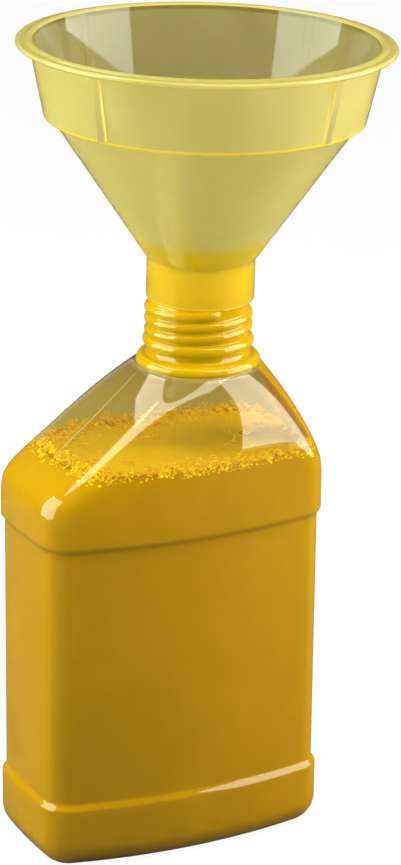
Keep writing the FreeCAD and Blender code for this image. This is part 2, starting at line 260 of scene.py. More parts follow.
def outline(left, right, depth, radius, face_turn, side_turn):
    """Points round an outline of four bowed sides and four round corners."""
    middle, half = (left + right) / 2, (right - left) / 2
    radius = min(radius, NEARLY_ROUND * half, NEARLY_ROUND * depth)
    face, side = math.radians(face_turn), math.radians(side_turn)
    face_sag, side_sag = math.tan(face / 2), math.tan(side / 2)
    face_room = half - radius * math.cos(side) + radius * math.sin(face)
    side_room = depth - radius * math.cos(face) + radius * math.sin(side)
    face_end = (face_room - side_sag * side_room) / (1 - side_sag * face_sag)
    side_end = side_room - face_sag * face_end
    centre_x = face_end - radius * math.sin(face)
    centre_y = side_end - radius * math.sin(side)
    side_bow, face_bow = side_end / math.sin(side), face_end / math.sin(face)
    t = np.linspace(0, side, SIDE_STEPS + 1)
    t = np.insert(t, 1, min(PARTING_HALF_WIDTH / side_bow, t[1] / 3))
    x = list(half - side_bow * (1 - np.cos(t)))
    y = list(side_bow * np.sin(t))
    t = np.linspace(side, math.pi / 2 - face, CORNER_STEPS + 1)[1:]
    x += list(centre_x + radius * np.cos(t))
    y += list(centre_y + radius * np.sin(t))
    t = np.linspace(face, 0, FACE_STEPS + 1)[1:]
    x += list(face_bow * np.sin(t))
    y += list(depth - face_bow * (1 - np.cos(t)))
    x, y = np.array(x), np.array(y)
    x = np.concatenate([x, -x[-2::-1], -x[1:], x[-2:0:-1]])
    y = np.concatenate([y, y[-2::-1], -y[1:], -y[-2:0:-1]])
    return np.stack([middle + x, y], axis=1)


def body_outline(z, wall=0.0, extra=0.0):
    """The body's outline at height z, drawn in by a wall and by an extra inset."""
    law_z = z
    if wall:
        law_z = z + SHOULDER_WALL_DROP * smooth_step((z - PANEL_TOP) / UPPER_BAND_HEIGHT)
    share = min(softened_ramp(law_z) / softened_ramp(SHOULDER_TOP), 1.0)
    left_share = share ** LEFT_SHOULDER_CURVE
    right_share = share ** RIGHT_SHOULDER_CURVE
    face_share = share ** FACE_SHOULDER_CURVE
    top = NECK_RING_RADIUS - NECK_RING_LIP
    inset = wall + panel_inset(z) + heel_inset(z) + extra
    left = (BODY_MIDDLE - BODY_WIDTH / 2) * (1 - left_share) - top * left_share
    right = (BODY_MIDDLE + BODY_WIDTH / 2) * (1 - right_share) + top * right_share
    depth = BODY_DEPTH / 2 * (1 - face_share) + top * face_share
    radius = CORNER_RADIUS + (NEARLY_ROUND * top - CORNER_RADIUS) * share
    face_turn = max(WIDE_FACE_TURN * (1 - face_share), LEAST_TURN)
    side_turn = max(NARROW_FACE_TURN * (1 - share), LEAST_TURN)
    return outline(left + inset, right - inset, depth - inset,
                   max(radius - inset, LEAST_RADIUS), face_turn, side_turn)


def level(points, z):
    """A row of points at one height."""
    return np.column_stack([points, np.full(len(points), float(z))])


def drawn_to_middle(row, shares):
    """Rows that shrink towards the middle of a row, for a floor or a surface."""
    middle = row.mean(axis=0)
    return [middle + (row - middle) * share for share in shares]


def run_of_steps(steps, per_arc):
    """Points (r, z) along steps; a step is a point, or a pair: an arc's middle and its end."""
    here = np.array(steps[0], float)
    points = [here]
    for step in steps[1:]:
        if isinstance(step[0], tuple):
            way, there = np.array(step[0], float), np.array(step[1], float)
            points += arc_through(here, way, there, per_arc)
        else:
            there = np.array(step, float)
            points.append(there)
        here = there
    return points


def arc_through(a, b, c, count):
    """Points after a on the arc from a through b to c."""
    across, along = b - a, c - a
    area = 2 * (across[0] * along[1] - across[1] * along[0])
    ux = (along[1] * across.dot(across) - across[1] * along.dot(along)) / area
    uy = (across[0] * along.dot(along) - along[0] * across.dot(across)) / area
    centre = a + np.array([ux, uy])
    start = math.atan2(a[1] - centre[1], a[0] - centre[0])
    end = math.atan2(c[1] - centre[1], c[0] - centre[0])
    if area > 0 and end < start:
        end += 2 * math.pi
    if area < 0 and end > start:
        end -= 2 * math.pi
    radius = math.hypot(ux, uy)
    turns = np.linspace(start, end, count + 1)[1:]
    return [centre + radius * np.array([math.cos(t), math.sin(t)]) for t in turns]


def eased_corners(points, reach, count=4):
    """The same run of points, with a small curve in place of every corner."""
    out = [points[0]]
    for before, here, after in zip(points, points[1:], points[2:]):
        back, ahead = before - here, after - here
        long_back, long_ahead = np.linalg.norm(back), np.linalg.norm(ahead)
        turn = math.acos(np.clip(-back.dot(ahead) / (long_back * long_ahead), -1, 1))
        if turn < math.radians(EASED_TURN):
            out.append(here)
            continue
        cut = min(reach, 0.4 * long_back, 0.4 * long_ahead)
        start, end = here + back / long_back * cut, here + ahead / long_ahead * cut
        for t in np.linspace(0, 1, count + 1):
            out.append((1 - t) ** 2 * start + 2 * t * (1 - t) * here + t * t * end)
    return out + [points[-1]]


def finished_mesh(name, points, faces, smooth=True):
    mesh = bpy.data.meshes.new(name)
    mesh.from_pydata([tuple(p) for p in np.asarray(points) * MM], [], faces)
    mesh.polygons.foreach_set("use_smooth", [smooth] * len(mesh.polygons))
    mesh.update()
    piece = bpy.data.objects.new(name, mesh)
    bpy.context.scene.collection.objects.link(piece)
    return piece


def wrapped_grid(name, rows, ring=False):
    """A closed skin through rows of points; the first and last row are capped, or joined."""
    count = len(rows[0])
    points = np.concatenate(rows)
    faces = []
    for i in range(len(rows) if ring else len(rows) - 1):
        low, high = i * count, (i + 1) % len(rows) * count
        for j in range(count):
            k = (j + 1) % count
            faces.append((low + j, low + k, high + k, high + j))
    if not ring:
        last, centre = (len(rows) - 1) * count, len(points)
        faces += [((j + 1) % count, j, centre) for j in range(count)]
        faces += [(last + j, last + (j + 1) % count, centre + 1) for j in range(count)]
        points = np.concatenate([points, [rows[0].mean(axis=0), rows[-1].mean(axis=0)]])
    return finished_mesh(name, points, faces)


# Bottle

def body_levels(low, high):
    """Heights of the rows from low to high, close together where the shape turns."""
    step = PANEL_STEP_HEIGHT
    levels = [HEEL_RADIUS * (1 - math.cos(t)) for t in np.linspace(0, math.pi / 2, 15)]
    levels += [BASE_BAND_HEIGHT - 8, BASE_BAND_HEIGHT - 0.6]
    levels += list(np.linspace(BASE_BAND_HEIGHT, BASE_BAND_HEIGHT + step, 9))
    levels += [BASE_BAND_HEIGHT + step + 0.6]
    levels += list(np.linspace(BASE_BAND_HEIGHT + 10, PANEL_TOP - 10, 9))
    levels += [PANEL_TOP - step - 0.6]
    levels += list(np.linspace(PANEL_TOP - step, PANEL_TOP, 9))
    levels += [PANEL_TOP + 0.6]
    levels += list(np.linspace(PANEL_TOP + 4, SHOULDER_TOP, 44))
    kept = [z for z in levels if low + 0.2 < z < high - 0.2]
    return [low] + kept + [high]


def thread_radius(angle, z):
    """The neck's outer radius where the thread winds, for arrays of angles in degrees."""
    centre = THREAD_CREST_RADIUS - THREAD_SECTION_RADIUS
    radius = np.full(len(angle), NECK_ROOT_RADIUS)
    down = (THREAD_TOP_ANGLE - angle) % 360
    for turn in range(-1, 4):
        wound = down + 360 * turn
        along = np.clip(wound, 0, 360 * THREAD_TURNS)
        past = np.radians(wound - along) * centre
        away = THREAD_TOP - THREAD_PITCH * along / 360 - z
        left = THREAD_SECTION_RADIUS ** 2 - away ** 2 - past ** 2
        ridge = centre + np.sqrt(np.clip(left, 0, None))
        radius = np.maximum(radius, ridge)
    return radius


def ring_steps(radius, root, base):
    width, height = radius - root, NECK_RING_HEIGHT
    return [(radius, base),
            (radius, base + 0.25 * height),
            ((radius - 0.18 * width, base + 0.52 * height), (radius - 0.5 * width, base + 0.66 * height)),
            ((radius - 0.88 * width, base + 0.78 * height), (root, base + height))]


def round_row(angles, radius, z):
    radius = np.broadcast_to(radius, angles.shape)
    return np.column_stack([radius * np.cos(angles), radius * np.sin(angles), np.full(len(angles), float(z))])


def neck_outer_rows(angles):
    ring_foot = SHOULDER_TOP - NECK_RING_SINK
    bead, half = BEAD_HEIGHT, BEAD_HALF_HEIGHT
    low = run_of_steps(ring_steps(NECK_RING_RADIUS, NECK_ROOT_RADIUS, ring_foot)
                       + [(NECK_ROOT_RADIUS, bead - half),
                          ((BEAD_RADIUS, bead), (NECK_ROOT_RADIUS, bead + half))], 12)
    low = eased_corners(low, 0.5)
    rows = [round_row(angles, NECK_RING_RADIUS - NECK_RING_LIP, ring_foot + 0.02)]
    rows += [round_row(angles, r, z) for r, z in low]
    degrees = np.degrees(angles)
    top = COLLAR_BOTTOM - NECK_STEP_HEIGHT
    for z in np.arange(bead + half + 0.2, top - 0.1, 0.22):
        rows.append(round_row(angles, thread_radius(degrees, z), z))
    lip = NECK_LIP_ROUNDING
    high = run_of_steps([(NECK_ROOT_RADIUS, top),
                         (NECK_TOP_RADIUS, COLLAR_BOTTOM),
                         (NECK_TOP_RADIUS, MOUTH_Z - lip),
                         ((NECK_TOP_RADIUS - 0.29 * lip, MOUTH_Z - 0.29 * lip),
                          (NECK_TOP_RADIUS - lip, MOUTH_Z)),
                         (NECK_BORE_RADIUS, MOUTH_Z)], 8)
    rows += [round_row(angles, r, z) for r, z in eased_corners(high, 0.3)]
    return rows


def neck_inner_steps(clearance):
    bore = NECK_BORE_RADIUS - clearance
    ring = NECK_RING_RADIUS - NECK_RING_LIP - BOTTLE_WALL - clearance
    base = SHOULDER_TOP - NECK_RING_SINK - RING_WALL_DROP - clearance
    return ring_steps(ring, bore, base)


def bottle_shell():
    rows = []
    rim = HEEL_RADIUS + BASE_RING_WIDTH - heel_inset(0)
    roof = level(body_outline(0, 0, rim + BASE_RECESS_DEPTH), BASE_RECESS_DEPTH)
    rows += drawn_to_middle(roof, (0.2, 0.5, 0.8, 0.97))
    rows.append(roof)
    rows.append(level(body_outline(0, 0, rim + 0.2), 0.12))
    rows.append(level(body_outline(0, 0, rim - 0.3), 0))
    for z in body_levels(0, SHOULDER_TOP - NECK_RING_SINK - BODY_END_BELOW_RING):
        row = body_outline(z)
        if SHOULDER_BREAK + PARTING_ABOVE_BREAK < z < SHOULDER_TOP - PARTING_BELOW_TOP:
            row[0, 0] += PARTING_HEIGHT
            row[len(row) // 2, 0] -= PARTING_HEIGHT
        rows.append(level(row, z))
    top = body_outline(SHOULDER_TOP)
    angles = np.unwrap(np.arctan2(top[:, 1], top[:, 0]))
    rows += neck_outer_rows(angles)
    inner = run_of_steps(neck_inner_steps(0), 8)
    rows += [round_row(angles, NECK_BORE_RADIUS, z) for z in np.linspace(MOUTH_Z - 0.2, SHOULDER_TOP + 5, 8)]
    rows += [round_row(angles, r, z) for r, z in eased_corners(inner, 0.4)[::-1]]
    ceiling = SHOULDER_TOP - NECK_RING_SINK - CAVITY_END_BELOW_RING
    levels = body_levels(CAVITY_FLOOR, ceiling)[::-1]
    rows += [level(body_outline(z, BOTTLE_WALL), z) for z in levels]
    rows += drawn_to_middle(rows[-1], (0.97, 0.7, 0.3))
    piece = wrapped_grid("bottle_shell", rows)
    low, high = (OIL_LEVEL + PARTING_ABOVE_OIL) * MM, (SHOULDER_TOP - 2) * MM
    for face in piece.data.polygons:
        middle = face.center
        outer = face.normal.z > 0 and low < middle.z < high
        face.material_index = int(outer and abs(middle.y) < PARTING_HALF_WIDTH * MM)
    return piece


# Contents

def oil_fill():
    """The oil up to its level; only its open surface carries the surface's colour."""
    wall = BOTTLE_WALL - OIL_REACH
    rows = [level(body_outline(z, wall), z) for z in body_levels(CAVITY_FLOOR - OIL_REACH, OIL_LEVEL)]
    rows = drawn_to_middle(rows[0], (0.3, 0.8)) + rows
    for up in (0.1, 0.25):
        rows.append(level(body_outline(OIL_LEVEL + up, wall), OIL_LEVEL + up))
    for inset, up in MENISCUS:
        rows.append(level(body_outline(OIL_LEVEL, wall, inset), OIL_LEVEL + up))
    rows += drawn_to_middle(rows[-1], SURFACE_SHARES)
    piece = wrapped_grid("oil_fill", rows)
    open_strip = len(rows) - OPEN_SURFACE_ROWS
    for face in piece.data.polygons:
        on_top = face.normal.z > 0.3 and face.center.z > OIL_LEVEL * MM - 0.001
        face.material_index = int(on_top and face.index // len(rows[0]) >= open_strip)
    return piece


def neck_film():
    """The oil's coat of the neck, which fills its wall up to the outer skin."""
    angles = np.linspace(0, 2 * math.pi, 180, endpoint=False)
    rows = []
    for row in neck_outer_rows(angles):
        if row[0, 2] < MOUTH_Z - FILM_BELOW_MOUTH:
            reach = 1 - FILM_REACH / np.hypot(row[:, 0], row[:, 1])
            rows.append(row * np.column_stack([reach, reach, np.ones(len(row))]))
    inner = run_of_steps(neck_inner_steps(FILM_THICKNESS), 8)
    inner.append(np.array([NECK_BORE_RADIUS - FILM_THICKNESS, MOUTH_Z - 1.0]))
    rows += [round_row(angles, r, z) for r, z in inner[::-1]]
    return wrapped_grid("neck_film", rows, ring=True)


def shoulder_film():
    """Oil that clings inside the shoulder's right wall, from the surface up to the ring."""
    reach = SIDE_STEPS + 1 + CORNER_STEPS // 2
    rows = []
    for z in np.linspace(OIL_LEVEL - 1, SHOULDER_TOP - 1.5, SHOULDER_FILM_ROWS):
        outer = np.roll(level(body_outline(z, BOTTLE_WALL - OIL_REACH), z), reach, axis=0)
        inner = np.roll(level(body_outline(z, BOTTLE_WALL + FILM_THICKNESS), z), reach, axis=0)
        rows.append(np.concatenate([outer[:reach + 1], inner[reach::-1]]))
    return wrapped_grid("shoulder_film", rows)


def ball(centre, radius, steps=4, around=8):
    """Points and faces of a small round bubble."""
    points, faces = [], []
    for i in range(1, steps):
        polar = math.pi * i / steps
        for j in range(around):
            turn = 2 * math.pi * j / around
            points.append((centre[0] + radius * math.sin(polar) * math.cos(turn),
                           centre[1] + radius * math.sin(polar) * math.sin(turn),
                           centre[2] - radius * BUBBLE_SQUASH * math.cos(polar)))
    bottom = len(points)
    points.append((centre[0], centre[1], centre[2] - radius * BUBBLE_SQUASH))
    points.append((centre[0], centre[1], centre[2] + radius * BUBBLE_SQUASH))
    for j in range(around):
        k = (j + 1) % around
        faces.append((k, j, bottom))
        for i in range(steps - 2):
            faces.append((i * around + j, i * around + k, (i + 1) * around + k, (i + 1) * around + j))
        faces.append(((steps - 2) * around + j, (steps - 2) * around + k, bottom + 1))
    return points, faces


def loop(centre, radius, thickness, tilt, around=16, section=5):
    """Points and faces of a thin ring, the rim of a larger bubble."""
    points, faces = [], []
    for i in range(around):
        turn = 2 * math.pi * i / around
        for j in range(section):
            swing = 2 * math.pi * j / section
            reach = radius + thickness * math.cos(swing)
            x, y = reach * math.cos(turn), reach * math.sin(turn)
            points.append((centre[0] + x, centre[1] + y,
                           centre[2] + thickness * math.sin(swing) + tilt[0] * x + tilt[1] * y))
            k = (j + 1) % section
            near, far = i * section, (i + 1) % around * section
            faces.append((near + j, far + j, far + k, near + k))
    return points, faces


def on_wall(rings, share, height, inset):
    """A point inside the wall, above or below the oil's level; rings keeps its rows."""
    key = (round(height, 1), round(inset, 1))
    if key not in rings:
        rings[key] = body_outline(OIL_LEVEL + key[0], BOTTLE_WALL, key[1])
    x, y = point_on(rings[key], share % 1.0)
    return x, y, OIL_LEVEL + height


def wall_loop(rings, share, height, radius, thickness, around=16, section=5):
    """Points and faces of the rim of a bubble that is pressed on the wall."""
    points, faces = [], []
    for i in range(around):
        turn = 2 * math.pi * i / around
        for j in range(section):
            swing = 2 * math.pi * j / section
            reach = radius + thickness * math.cos(swing)
            points.append(on_wall(rings, share + reach * math.cos(turn) / WALL_ROUND,
                                  height + BUBBLE_SQUASH * reach * math.sin(turn),
                                  thickness * math.sin(swing)))
            k = (j + 1) % section
            near, far = i * section, (i + 1) % around * section
            faces.append((near + j, far + j, far + k, near + k))
    return points, faces


def froth_bubbles():
    """Bubbles crowded along the wall and thinning out towards the middle."""
    chance = np.random.default_rng(FROTH_SEED)
    shapes, rings = [], {}
    for number in range(WALL_BUBBLES):
        radius = chance.uniform(*WALL_SIZES[number % LARGE_EVERY > 0])
        share = chance.uniform()
        lowest = -1.5 - 0.5 * math.sin(2 * math.pi * 7 * share) - 0.5 * math.sin(2 * math.pi * 17 * share + 1)
        height = float(np.clip(chance.normal(0.5, 1.3), lowest, FROTH_TOP))
        pressed = height < chance.uniform(-1.0, 2.0)
        inset = 0.75 * radius - 0.35 if pressed else 0.8 * radius + chance.gamma(1.0, 0.5)
        shapes.append(ball(on_wall(rings, share, height, inset), radius))
    for _ in range(WALL_LOOPS):
        shapes.append(wall_loop(rings, chance.uniform(), chance.uniform(*WALL_LOOP_HEIGHTS),
                                chance.uniform(*WALL_LOOP_SIZES), chance.uniform(*WALL_LOOP_THICKNESS)))
    for number in range(FLOATING_BUBBLES):
        radius = chance.uniform(*FLOATING_SIZES[number % LARGE_EVERY > 0])
        inset = chance.gamma(1.3, 2.6) + radius
        height = 0.9 * math.exp(-inset / 1.4) + radius * 0.25
        shapes.append(ball(on_wall(rings, chance.uniform(), height, inset), radius))
    for _ in range(FLOATING_LOOPS):
        radius = chance.uniform(*FLOATING_LOOP_SIZES)
        centre = on_wall(rings, chance.uniform(), 0.35, chance.gamma(1.6, 2.6) + radius * 0.9)
        tilt = chance.uniform(-LOOP_TILT, LOOP_TILT, 2)
        shapes.append(loop(centre, radius, chance.uniform(*FLOATING_LOOP_THICKNESS), tilt))
    for start, end, bend in BUBBLE_CHAINS:
        for step in np.linspace(0, 1, CHAIN_BUBBLES):
            side = bend * math.sin(math.pi * step) + chance.normal(0, CHAIN_SCATTER)
            at = (start[0] + (end[0] - start[0]) * step + side,
                  start[1] + (end[1] - start[1]) * step + chance.normal(0, CHAIN_SCATTER))
            shapes.append(ball((at[0], at[1], OIL_LEVEL + 0.1), chance.uniform(*CHAIN_SIZES)))
    points, faces = [], []
    for more, skin in shapes:
        faces += [tuple(len(points) + k for k in face) for face in skin]
        points += more
    return finished_mesh("froth_bubbles", points, faces)


def point_on(ring, share):
    """The point at this share of the way round a closed row, by length."""
    ahead = np.roll(ring, -1, axis=0)
    reach = np.concatenate([[0], np.cumsum(np.linalg.norm(ahead - ring, axis=1))])
    place = share * reach[-1]
    i = min(int(np.searchsorted(reach, place, side="right")) - 1, len(ring) - 1)
    return ring[i] + (ahead[i] - ring[i]) * (place - reach[i]) / (reach[i + 1] - reach[i])


# Funnel

def funnel_profile():
    skirt_bottom = COLLAR_HEIGHT + CONE_HEIGHT
    skirt_top = skirt_bottom + SKIRT_HEIGHT
    edge, wall = SKIRT_EDGE_ROUNDING, FUNNEL_WALL
    rim_half = RIM_THICKNESS / 2
    rim_top = skirt_top + RIM_THICKNESS
    inner_top = SKIRT_TOP_RADIUS - wall
    steps = [(COLLAR_BORE, LEDGE_HEIGHT - 0.5),
             (COLLAR_BORE, 0),
             (COLLAR_RADIUS, 0),
             (COLLAR_RADIUS, COLLAR_HEIGHT),
             (CONE_TOP_RADIUS, skirt_bottom),
             (SKIRT_BOTTOM_RADIUS - edge, skirt_bottom),
             ((SKIRT_BOTTOM_RADIUS - 0.29 * edge, skirt_bottom + 0.29 * edge),
              (SKIRT_BOTTOM_RADIUS, skirt_bottom + edge)),
             (SKIRT_BOTTOM_RADIUS + 0.02, skirt_bottom + edge + 0.1),
             (SKIRT_TOP_RADIUS - 0.05, skirt_top - 0.25),
             (SKIRT_TOP_RADIUS + 0.2, skirt_top),
             (RIM_RADIUS - rim_half, skirt_top),
             ((RIM_RADIUS, skirt_top + rim_half), (RIM_RADIUS - rim_half, rim_top)),
             (inner_top + 2 * RIM_CREST_WIDTH, rim_top),
             ((inner_top + RIM_CREST_WIDTH, rim_top + RIM_CREST_HEIGHT), (inner_top, rim_top)),
             (SKIRT_BOTTOM_RADIUS - wall, skirt_bottom + wall),
             (CONE_TOP_RADIUS - CONE_WALL_ACROSS + CONE_SLOPE * wall, skirt_bottom + wall),
             (THROAT_RADIUS, LEDGE_HEIGHT),
             (COLLAR_BORE, LEDGE_HEIGHT)]
    return eased_corners(run_of_steps(steps, 10), 0.5)


def funnel_angles():
    angles = list(np.arange(0, 360, 1.5))
    half = math.degrees(RIB_WIDTH / 2 / RIB_MIDDLE_RADIUS)
    for middle in RIB_ANGLES:
        angles = [a for a in angles if abs((a - middle + 180) % 360 - 180) > half + 0.5]
        for side in (-1, 1):
            angles += [middle + side * (half + more) for more in (-1.0, -0.25, -0.06, 0.1, 0.3)]
    return np.radians(sorted(a % 360 for a in angles))


def rib_share(angles):
    """1 on a rib, 0 beside it."""
    half = math.degrees(RIB_WIDTH / 2 / RIB_MIDDLE_RADIUS)
    share = np.zeros(len(angles))
    for middle in RIB_ANGLES:
        away = np.abs((np.degrees(angles) - middle + 180) % 360 - 180)
        share = np.maximum(share, np.clip((half + 0.1 - away) / 0.35, 0, 1))
    return share


def funnel_region(centre, normal):
    """0 outside, 1 inside, 2 on the rim, 3 on the lower edges."""
    skirt_bottom = COLLAR_HEIGHT + CONE_HEIGHT
    inward = normal.x * centre.x + normal.y * centre.y < 0
    on_rim = centre.z > skirt_bottom + SKIRT_HEIGHT - 0.3
    on_edge = skirt_bottom - 0.2 < centre.z < skirt_bottom + FUNNEL_WALL + 0.3
    if on_rim:
        return 2
    if (on_edge and normal.z < 0 and not inward) or centre.z < 0.6:
        return 3
    return int((inward or on_edge) and centre.z > LEDGE_HEIGHT)


def funnel_shell():
    angles = funnel_angles()
    share = rib_share(angles)
    low = COLLAR_HEIGHT + CONE_HEIGHT + SKIRT_EDGE_ROUNDING
    high = COLLAR_HEIGHT + CONE_HEIGHT + SKIRT_HEIGHT
    rows = []
    for r, z in funnel_profile():
        on_skirt = low < z < high and r > SKIRT_BOTTOM_RADIUS - 0.1
        if on_skirt and r > SKIRT_BOTTOM_RADIUS - FUNNEL_WALL / 2 + (z - low) * SKIRT_SLOPE:
            rows.append(round_row(angles, r + RIB_DEPTH * share, z))
        else:
            rows.append(round_row(angles, r, z))
    piece = wrapped_grid("funnel_shell", rows, ring=True)
    for face in piece.data.polygons:
        face.material_index = funnel_region(face.center / MM, face.normal)
    across = math.radians(LEAN_ANGLE + 90)
    lean = Matrix.Rotation(math.radians(FUNNEL_LEAN), 4, Vector((math.cos(across), math.sin(across), 0)))
    toward = math.radians(LEAN_ANGLE)
    shift = Vector((FUNNEL_SHIFT * math.cos(toward), FUNNEL_SHIFT * math.sin(toward), COLLAR_BOTTOM)) * MM
    piece.data.transform(Matrix.Translation(shift) @ lean)
    return piece


# Materials

def new_material(name):
    material = bpy.data.materials.new(name)
    material.use_nodes = True
    tree = material.node_tree
    return material, tree, tree.nodes["Principled BSDF"]


def add(tree, kind, operation=None):
    node = tree.nodes.new(kind)
    if operation:
        node.operation = operation
    return node


def noise(tree, scale, detail=3.0, roughness=0.5, distortion=0.0):
    place = add(tree, "ShaderNodeTexCoord")
    field = add(tree, "ShaderNodeTexNoise")
    field.inputs["Scale"].default_value = scale
    field.inputs["Detail"].default_value = detail
    field.inputs["Roughness"].default_value = roughness
    field.inputs["Distortion"].default_value = distortion
    tree.links.new(place.outputs["Object"], field.inputs["Vector"])
    return field.outputs["Fac"]


def mapped(tree, value, low, high, to_low, to_high):
    node = add(tree, "ShaderNodeMapRange")
    for socket, number in zip(("From Min", "From Max", "To Min", "To Max"), (low, high, to_low, to_high)):
        node.inputs[socket].default_value = number
    tree.links.new(value, node.inputs["Value"])
    return node.outputs["Result"]


def bump(tree, value, strength, distance):
    node = add(tree, "ShaderNodeBump")
    node.inputs["Strength"].default_value = strength
    node.inputs["Distance"].default_value = distance
    tree.links.new(value, node.inputs["Height"])
    return node.outputs["Normal"]


def ramp(tree, value, stops):
    node = add(tree, "ShaderNodeValToRGB")
    while len(node.color_ramp.elements) < len(stops):
        node.color_ramp.elements.new(0.5)
    for element, (place, colour) in zip(node.color_ramp.elements, stops):
        element.position = place
        element.color = (*colour, 1)
    tree.links.new(value, node.inputs["Fac"])
    return node.outputs["Color"]


def clear_to_shadows(tree, shader, tint):
    """Lets lamp light through a see-through shader, so that it reaches what is inside."""
    path = add(tree, "ShaderNodeLightPath")
    clear = add(tree, "ShaderNodeBsdfTransparent")
    clear.inputs["Color"].default_value = (*tint, 1)
    mix = add(tree, "ShaderNodeMixShader")
    out = tree.nodes["Material Output"]
    tree.links.new(path.outputs["Is Shadow Ray"], mix.inputs["Fac"])
    tree.links.new(shader, mix.inputs[1])
    tree.links.new(clear.outputs["BSDF"], mix.inputs[2])
    tree.links.new(mix.outputs["Shader"], out.inputs["Surface"])


def clear_plastic(name, see_through):
    material, tree, shader = new_material(name)
    place = add(tree, "ShaderNodeTexCoord")
    split = add(tree, "ShaderNodeSeparateXYZ")
    tree.links.new(place.outputs["Object"], split.inputs["Vector"])
    height = mapped(tree, split.outputs["Z"], *WALL_TINT, 0.0, 1.0)
    below, above = [(0.0, UNTINTED_WALL), (0.13, UNTINTED_WALL)], [(0.76, UNTINTED_WALL)]
    # Painted shade with a thin oil film on the broad walls above the oil; faces turned to the right take the
    # oil film's gold
    broad = ramp(tree, height, below + list(zip((0.17, 0.45, 0.72), BROAD_WALL_SHADE_AND_FILM)) + above)
    narrow = ramp(tree, height, below + list(zip((0.17, 0.72), NARROW_WALL)) + above)
    facing = add(tree, "ShaderNodeSeparateXYZ")
    tree.links.new(place.outputs["Normal"], facing.inputs["Vector"])
    blend = add(tree, "ShaderNodeMixRGB")
    tree.links.new(mapped(tree, facing.outputs["X"], 0.45, 0.7, 0.0, 1.0), blend.inputs["Fac"])
    tree.links.new(broad, blend.inputs["Color1"])
    tree.links.new(narrow, blend.inputs["Color2"])
    tree.links.new(blend.outputs["Color"], shader.inputs["Base Color"])
    shader.inputs["Transmission Weight"].default_value = see_through
    shader.inputs["IOR"].default_value = 1.5
    tree.links.new(mapped(tree, noise(tree, 160), 0.3, 0.7, 0.015, 0.035), shader.inputs["Roughness"])
    tree.links.new(bump(tree, noise(tree, 28, 2), 0.06, 0.002), shader.inputs["Normal"])
    clear_to_shadows(tree, shader.outputs["BSDF"], (0.99, 0.97, 0.9))
    return material


def oil_material(name, gloss, ripple, pale, glow_depth=0.006):
    material, tree, shader = new_material(name)
    colour = ramp(tree, noise(tree, 22, 4, 0.6, 1.5), [(0.3, pale[0]), (0.7, pale[1])])
    tree.links.new(colour, shader.inputs["Base Color"])
    shader.inputs["Roughness"].default_value = 0.2
    shader.inputs["Specular IOR Level"].default_value = gloss
    shader.inputs["Subsurface Weight"].default_value = 0.15
    shader.inputs["Subsurface Radius"].default_value = (0.9, 0.5, 0.02)
    shader.inputs["Subsurface Scale"].default_value = glow_depth
    tree.links.new(bump(tree, noise(tree, 90, 3, 0.55, 2.5), ripple, 0.0008), shader.inputs["Normal"])
    return material


def froth_material():
    material, tree, shader = new_material("oil_froth")
    colour = ramp(tree, noise(tree, 300, 2), [(0.35, FROTH[0]), (0.65, FROTH[1])])
    tree.links.new(colour, shader.inputs["Base Color"])
    shader.inputs["Roughness"].default_value = 0.12
    shader.inputs["Specular IOR Level"].default_value = 0.2
    shader.inputs["Transmission Weight"].default_value = 0.2
    # Painted glow: a faint light of the froth's own
    shader.inputs["Emission Color"].default_value = FROTH_PAINTED_GLOW
    shader.inputs["Emission Strength"].default_value = 0.08
    shader.inputs["IOR"].default_value = 1.4
    tree.links.new(bump(tree, noise(tree, 700, 2), 0.15, 0.0003), shader.inputs["Normal"])
    clear_to_shadows(tree, shader.outputs["BSDF"], (0.9, 0.75, 0.3))
    return material


def funnel_side(name, see_through, pale, low=None):
    """Funnel plastic; low holds its colours at the collar, where oil shows through, and at the foot of the
    cone, where a brighter colour is a painted glow.
    """
    material, tree, shader = new_material(name)
    colour = ramp(tree, noise(tree, 40, 3), [(0.3, pale[0]), (0.7, pale[1])])
    if low:
        place = add(tree, "ShaderNodeTexCoord")
        split = add(tree, "ShaderNodeSeparateXYZ")
        tree.links.new(place.outputs["Object"], split.inputs["Vector"])
        blend = add(tree, "ShaderNodeMixRGB")
        tree.links.new(mapped(tree, split.outputs["Z"], *LOW_CONE_TO_CONE, 0.0, 1.0), blend.inputs["Fac"])
        low_height = mapped(tree, split.outputs["Z"], *COLLAR_TO_LOW_CONE, 0.0, 1.0)
        tree.links.new(ramp(tree, low_height, [(0.0, low[0]), (1.0, low[1])]), blend.inputs["Color1"])
        tree.links.new(colour, blend.inputs["Color2"])
        colour = blend.outputs["Color"]
    tree.links.new(colour, shader.inputs["Base Color"])
    tree.links.new(mapped(tree, noise(tree, 220), 0.3, 0.7, 0.04, 0.08), shader.inputs["Roughness"])
    shader.inputs["Transmission Weight"].default_value = see_through
    shader.inputs["IOR"].default_value = 1.5
    shader.inputs["Subsurface Weight"].default_value = 1.0
    shader.inputs["Subsurface Radius"].default_value = (1.0, 0.9, 0.4)
    shader.inputs["Subsurface Scale"].default_value = 0.005
    tree.links.new(bump(tree, noise(tree, 60, 2), 0.03, 0.001), shader.inputs["Normal"])
    clear_to_shadows(tree, shader.outputs["BSDF"], (0.94, 0.90, 0.68))
    return material


def funnel_plastic():
    return [funnel_side("funnel_plastic_outside", 0.45, FUNNEL_OUTSIDE, FUNNEL_OIL_AND_GLOW),
            # the inside's dark colour is painted shade
            funnel_side("funnel_plastic_inside_shaded", 0.8, FUNNEL_INSIDE_SHADE),
            # the rim's darker colour is painted shade
            funnel_side("funnel_plastic_rim_shaded", 0.15, FUNNEL_RIM_SHADE),
            funnel_side("funnel_plastic_edge", 0.15, FUNNEL_EDGE)]


# Stage

